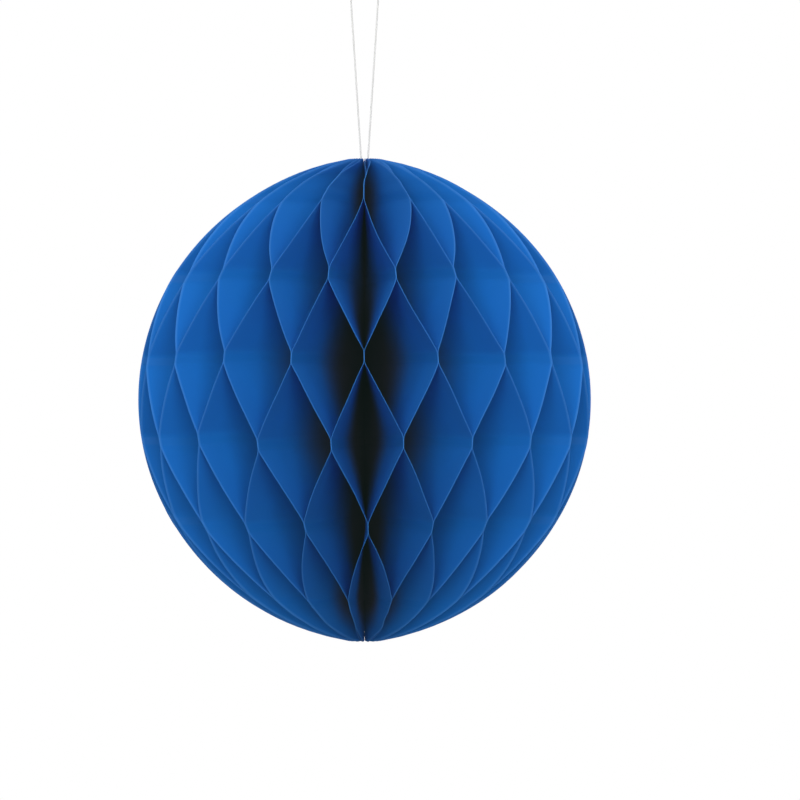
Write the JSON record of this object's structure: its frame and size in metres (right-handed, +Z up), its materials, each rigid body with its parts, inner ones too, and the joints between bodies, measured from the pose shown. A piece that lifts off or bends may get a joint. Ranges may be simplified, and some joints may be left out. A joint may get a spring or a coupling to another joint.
{
  "type": "paper honeycomb ball",
  "caption": "Hanging ball of blue tissue-paper leaves glued in alternating bands round a thread; it opens into diamond cells and folds back to a half-moon.",
  "frame": {"origin": "inside of the hanging loop's top, where a hook or pin carries the ball", "axes": "+Z up along the thread; +Y towards the seam between the first and last leaf, so -Y faces the viewer; the loop lies in the X-Z plane"},
  "size_m": [0.1864, 0.1864, 0.2804],
  "materials": {
    "tissue": "matte blue tissue",
    "thread": "white twisted thread",
    "dyed_thread": "dark blue twisted thread",
    "tape": "thin double-sided tape"
  },
  "bodies": {
    "loop": {"hanging_loop": "thread"},
    "knot": {"top_knot": "dyed_thread"},
    "spine": {"spine_thread": "dyed_thread", "bottom_knot": "dyed_thread"},
    "leaf_01": {"leaf_01": "tissue"},
    "leaf_02": {"leaf_02": "tissue"},
    "leaf_03": {"leaf_03": "tissue"},
    "leaf_04": {"leaf_04": "tissue"},
    "leaf_05": {"leaf_05": "tissue"},
    "leaf_06": {"leaf_06": "tissue"},
    "leaf_07": {"leaf_07": "tissue"},
    "leaf_08": {"leaf_08": "tissue"},
    "leaf_09": {"leaf_09": "tissue"},
    "leaf_10": {"leaf_10": "tissue"},
    "leaf_11": {"leaf_11": "tissue"},
    "leaf_12": {"leaf_12": "tissue"},
    "leaf_13": {"leaf_13": "tissue"},
    "leaf_14": {"leaf_14": "tissue"},
    "leaf_15": {"leaf_15": "tissue"},
    "leaf_16": {"leaf_16": "tissue"},
    "leaf_17": {"leaf_17": "tissue"},
    "leaf_18": {"leaf_18": "tissue"},
    "leaf_19": {"leaf_19": "tissue"},
    "leaf_20": {"leaf_20": "tissue"},
    "leaf_21": {"leaf_21": "tissue"},
    "leaf_22": {"leaf_22": "tissue"},
    "leaf_23": {"leaf_23": "tissue"},
    "leaf_24": {"leaf_24": "tissue"},
    "leaf_25": {"leaf_25": "tissue"},
    "leaf_26": {"leaf_26": "tissue"},
    "leaf_27": {"leaf_27": "tissue"},
    "leaf_28": {"leaf_28": "tissue"},
    "leaf_29": {"leaf_29": "tissue"},
    "leaf_30": {"leaf_30": "tissue"},
    "leaf_31": {"leaf_31": "tissue"},
    "leaf_32": {"leaf_32": "tissue"},
    "leaf_33": {"leaf_33": "tissue"},
    "leaf_34": {"leaf_34": "tissue"},
    "leaf_35": {"leaf_35": "tissue"},
    "leaf_36": {"leaf_36": "tissue"},
    "leaf_37": {"leaf_37": "tissue"},
    "leaf_38": {"leaf_38": "tissue"},
    "leaf_39": {"leaf_39": "tissue"},
    "leaf_40": {"leaf_40": "tissue", "closing_tab_bottom": "tape", "closing_tab_middle": "tape", "closing_tab_top": "tape"}
  },
  "joints": [
    {"name": "swing_front_back", "type": "hinge", "parent": "loop", "child": "knot", "pos_m": [0, 0, -0.0828], "axis": [1, 0, 0], "range_deg": [-20, 20]},
    {"name": "swing_side", "type": "hinge", "parent": "knot", "child": "spine", "pos_m": [0, 0, -0.0828], "axis": [0, 1, 0], "range_deg": [-20, 20]},
    {"name": "spin", "type": "hinge", "parent": "spine", "child": "leaf_01", "pos_m": [0, 0, -0.18], "axis": [0, 0, 1], "range_deg": [-180, 180]},
    {"name": "fold_02", "type": "hinge", "parent": "leaf_01", "child": "leaf_02", "pos_m": [0, 0, -0.18], "axis": [0, 0, 1], "range_deg": [-8.97, 0], "deforming": ["leaf_02"]},
    {"name": "fold_03", "type": "hinge", "parent": "leaf_01", "child": "leaf_03", "pos_m": [0, 0, -0.18], "axis": [0, 0, 1], "range_deg": [-17.9, 0], "deforming": ["leaf_03"]},
    {"name": "fold_04", "type": "hinge", "parent": "leaf_01", "child": "leaf_04", "pos_m": [0, 0, -0.18], "axis": [0, 0, 1], "range_deg": [-26.82, 0], "deforming": ["leaf_04"]},
    {"name": "fold_05", "type": "hinge", "parent": "leaf_01", "child": "leaf_05", "pos_m": [0, 0, -0.18], "axis": [0, 0, 1], "range_deg": [-35.74, 0], "deforming": ["leaf_05"]},
    {"name": "fold_06", "type": "hinge", "parent": "leaf_01", "child": "leaf_06", "pos_m": [0, 0, -0.18], "axis": [0, 0, 1], "range_deg": [-44.67, 0], "deforming": ["leaf_06"]},
    {"name": "fold_07", "type": "hinge", "parent": "leaf_01", "child": "leaf_07", "pos_m": [0, 0, -0.18], "axis": [0, 0, 1], "range_deg": [-53.59, 0], "deforming": ["leaf_07"]},
    {"name": "fold_08", "type": "hinge", "parent": "leaf_01", "child": "leaf_08", "pos_m": [0, 0, -0.18], "axis": [0, 0, 1], "range_deg": [-62.51, 0], "deforming": ["leaf_08"]},
    {"name": "fold_09", "type": "hinge", "parent": "leaf_01", "child": "leaf_09", "pos_m": [0, 0, -0.18], "axis": [0, 0, 1], "range_deg": [-71.43, 0], "deforming": ["leaf_09"]},
    {"name": "fold_10", "type": "hinge", "parent": "leaf_01", "child": "leaf_10", "pos_m": [0, 0, -0.18], "axis": [0, 0, 1], "range_deg": [-80.36, 0], "deforming": ["leaf_10"]},
    {"name": "fold_11", "type": "hinge", "parent": "leaf_01", "child": "leaf_11", "pos_m": [0, 0, -0.18], "axis": [0, 0, 1], "range_deg": [-89.28, 0], "deforming": ["leaf_11"]},
    {"name": "fold_12", "type": "hinge", "parent": "leaf_01", "child": "leaf_12", "pos_m": [0, 0, -0.18], "axis": [0, 0, 1], "range_deg": [-98.2, 0], "deforming": ["leaf_12"]},
    {"name": "fold_13", "type": "hinge", "parent": "leaf_01", "child": "leaf_13", "pos_m": [0, 0, -0.18], "axis": [0, 0, 1], "range_deg": [-107.13, 0], "deforming": ["leaf_13"]},
    {"name": "fold_14", "type": "hinge", "parent": "leaf_01", "child": "leaf_14", "pos_m": [0, 0, -0.18], "axis": [0, 0, 1], "range_deg": [-116.05, 0], "deforming": ["leaf_14"]},
    {"name": "fold_15", "type": "hinge", "parent": "leaf_01", "child": "leaf_15", "pos_m": [0, 0, -0.18], "axis": [0, 0, 1], "range_deg": [-124.97, 0], "deforming": ["leaf_15"]},
    {"name": "fold_16", "type": "hinge", "parent": "leaf_01", "child": "leaf_16", "pos_m": [0, 0, -0.18], "axis": [0, 0, 1], "range_deg": [-133.9, 0], "deforming": ["leaf_16"]},
    {"name": "fold_17", "type": "hinge", "parent": "leaf_01", "child": "leaf_17", "pos_m": [0, 0, -0.18], "axis": [0, 0, 1], "range_deg": [-142.82, 0], "deforming": ["leaf_17"]},
    {"name": "fold_18", "type": "hinge", "parent": "leaf_01", "child": "leaf_18", "pos_m": [0, 0, -0.18], "axis": [0, 0, 1], "range_deg": [-151.74, 0], "deforming": ["leaf_18"]},
    {"name": "fold_19", "type": "hinge", "parent": "leaf_01", "child": "leaf_19", "pos_m": [0, 0, -0.18], "axis": [0, 0, 1], "range_deg": [-160.67, 0], "deforming": ["leaf_19"]},
    {"name": "fold_20", "type": "hinge", "parent": "leaf_01", "child": "leaf_20", "pos_m": [0, 0, -0.18], "axis": [0, 0, 1], "range_deg": [-169.59, 0], "deforming": ["leaf_20"]},
    {"name": "fold_21", "type": "hinge", "parent": "leaf_01", "child": "leaf_21", "pos_m": [0, 0, -0.18], "axis": [0, 0, 1], "range_deg": [-178.51, 0], "deforming": ["leaf_21"]},
    {"name": "fold_22", "type": "hinge", "parent": "leaf_01", "child": "leaf_22", "pos_m": [0, 0, -0.18], "axis": [0, 0, 1], "range_deg": [-187.43, 0], "deforming": ["leaf_22"]},
    {"name": "fold_23", "type": "hinge", "parent": "leaf_01", "child": "leaf_23", "pos_m": [0, 0, -0.18], "axis": [0, 0, 1], "range_deg": [-196.36, 0], "deforming": ["leaf_23"]},
    {"name": "fold_24", "type": "hinge", "parent": "leaf_01", "child": "leaf_24", "pos_m": [0, 0, -0.18], "axis": [0, 0, 1], "range_deg": [-205.28, 0], "deforming": ["leaf_24"]},
    {"name": "fold_25", "type": "hinge", "parent": "leaf_01", "child": "leaf_25", "pos_m": [0, 0, -0.18], "axis": [0, 0, 1], "range_deg": [-214.2, 0], "deforming": ["leaf_25"]},
    {"name": "fold_26", "type": "hinge", "parent": "leaf_01", "child": "leaf_26", "pos_m": [0, 0, -0.18], "axis": [0, 0, 1], "range_deg": [-223.13, 0], "deforming": ["leaf_26"]},
    {"name": "fold_27", "type": "hinge", "parent": "leaf_01", "child": "leaf_27", "pos_m": [0, 0, -0.18], "axis": [0, 0, 1], "range_deg": [-232.05, 0], "deforming": ["leaf_27"]},
    {"name": "fold_28", "type": "hinge", "parent": "leaf_01", "child": "leaf_28", "pos_m": [0, 0, -0.18], "axis": [0, 0, 1], "range_deg": [-240.97, 0], "deforming": ["leaf_28"]},
    {"name": "fold_29", "type": "hinge", "parent": "leaf_01", "child": "leaf_29", "pos_m": [0, 0, -0.18], "axis": [0, 0, 1], "range_deg": [-249.9, 0], "deforming": ["leaf_29"]},
    {"name": "fold_30", "type": "hinge", "parent": "leaf_01", "child": "leaf_30", "pos_m": [0, 0, -0.18], "axis": [0, 0, 1], "range_deg": [-258.82, 0], "deforming": ["leaf_30"]},
    {"name": "fold_31", "type": "hinge", "parent": "leaf_01", "child": "leaf_31", "pos_m": [0, 0, -0.18], "axis": [0, 0, 1], "range_deg": [-267.74, 0], "deforming": ["leaf_31"]},
    {"name": "fold_32", "type": "hinge", "parent": "leaf_01", "child": "leaf_32", "pos_m": [0, 0, -0.18], "axis": [0, 0, 1], "range_deg": [-276.67, 0], "deforming": ["leaf_32"]},
    {"name": "fold_33", "type": "hinge", "parent": "leaf_01", "child": "leaf_33", "pos_m": [0, 0, -0.18], "axis": [0, 0, 1], "range_deg": [-285.59, 0], "deforming": ["leaf_33"]},
    {"name": "fold_34", "type": "hinge", "parent": "leaf_01", "child": "leaf_34", "pos_m": [0, 0, -0.18], "axis": [0, 0, 1], "range_deg": [-294.51, 0], "deforming": ["leaf_34"]},
    {"name": "fold_35", "type": "hinge", "parent": "leaf_01", "child": "leaf_35", "pos_m": [0, 0, -0.18], "axis": [0, 0, 1], "range_deg": [-303.43, 0], "deforming": ["leaf_35"]},
    {"name": "fold_36", "type": "hinge", "parent": "leaf_01", "child": "leaf_36", "pos_m": [0, 0, -0.18], "axis": [0, 0, 1], "range_deg": [-312.36, 0], "deforming": ["leaf_36"]},
    {"name": "fold_37", "type": "hinge", "parent": "leaf_01", "child": "leaf_37", "pos_m": [0, 0, -0.18], "axis": [0, 0, 1], "range_deg": [-321.28, 0], "deforming": ["leaf_37"]},
    {"name": "fold_38", "type": "hinge", "parent": "leaf_01", "child": "leaf_38", "pos_m": [0, 0, -0.18], "axis": [0, 0, 1], "range_deg": [-330.2, 0], "deforming": ["leaf_38"]},
    {"name": "fold_39", "type": "hinge", "parent": "leaf_01", "child": "leaf_39", "pos_m": [0, 0, -0.18], "axis": [0, 0, 1], "range_deg": [-339.13, 0], "deforming": ["leaf_39"]},
    {"name": "fold_40", "type": "hinge", "parent": "leaf_01", "child": "leaf_40", "pos_m": [0, 0, -0.18], "axis": [0, 0, 1], "range_deg": [-348, 0], "deforming": ["leaf_40", "leaf_01", "closing_tab_bottom", "closing_tab_middle", "closing_tab_top"]}
  ],
  "couplings": [
    {"joint": "fold_02", "follows": "fold_40", "ratio": 0.025641},
    {"joint": "fold_03", "follows": "fold_40", "ratio": 0.051282},
    {"joint": "fold_04", "follows": "fold_40", "ratio": 0.076923},
    {"joint": "fold_05", "follows": "fold_40", "ratio": 0.10256},
    {"joint": "fold_06", "follows": "fold_40", "ratio": 0.12821},
    {"joint": "fold_07", "follows": "fold_40", "ratio": 0.15385},
    {"joint": "fold_08", "follows": "fold_40", "ratio": 0.17949},
    {"joint": "fold_09", "follows": "fold_40", "ratio": 0.20513},
    {"joint": "fold_10", "follows": "fold_40", "ratio": 0.23077},
    {"joint": "fold_11", "follows": "fold_40", "ratio": 0.25641},
    {"joint": "fold_12", "follows": "fold_40", "ratio": 0.28205},
    {"joint": "fold_13", "follows": "fold_40", "ratio": 0.30769},
    {"joint": "fold_14", "follows": "fold_40", "ratio": 0.33333},
    {"joint": "fold_15", "follows": "fold_40", "ratio": 0.35897},
    {"joint": "fold_16", "follows": "fold_40", "ratio": 0.38462},
    {"joint": "fold_17", "follows": "fold_40", "ratio": 0.41026},
    {"joint": "fold_18", "follows": "fold_40", "ratio": 0.4359},
    {"joint": "fold_19", "follows": "fold_40", "ratio": 0.46154},
    {"joint": "fold_20", "follows": "fold_40", "ratio": 0.48718},
    {"joint": "fold_21", "follows": "fold_40", "ratio": 0.51282},
    {"joint": "fold_22", "follows": "fold_40", "ratio": 0.53846},
    {"joint": "fold_23", "follows": "fold_40", "ratio": 0.5641},
    {"joint": "fold_24", "follows": "fold_40", "ratio": 0.58974},
    {"joint": "fold_25", "follows": "fold_40", "ratio": 0.61538},
    {"joint": "fold_26", "follows": "fold_40", "ratio": 0.64103},
    {"joint": "fold_27", "follows": "fold_40", "ratio": 0.66667},
    {"joint": "fold_28", "follows": "fold_40", "ratio": 0.69231},
    {"joint": "fold_29", "follows": "fold_40", "ratio": 0.71795},
    {"joint": "fold_30", "follows": "fold_40", "ratio": 0.74359},
    {"joint": "fold_31", "follows": "fold_40", "ratio": 0.76923},
    {"joint": "fold_32", "follows": "fold_40", "ratio": 0.79487},
    {"joint": "fold_33", "follows": "fold_40", "ratio": 0.82051},
    {"joint": "fold_34", "follows": "fold_40", "ratio": 0.84615},
    {"joint": "fold_35", "follows": "fold_40", "ratio": 0.87179},
    {"joint": "fold_36", "follows": "fold_40", "ratio": 0.89744},
    {"joint": "fold_37", "follows": "fold_40", "ratio": 0.92308},
    {"joint": "fold_38", "follows": "fold_40", "ratio": 0.94872},
    {"joint": "fold_39", "follows": "fold_40", "ratio": 0.97436}
  ]
}
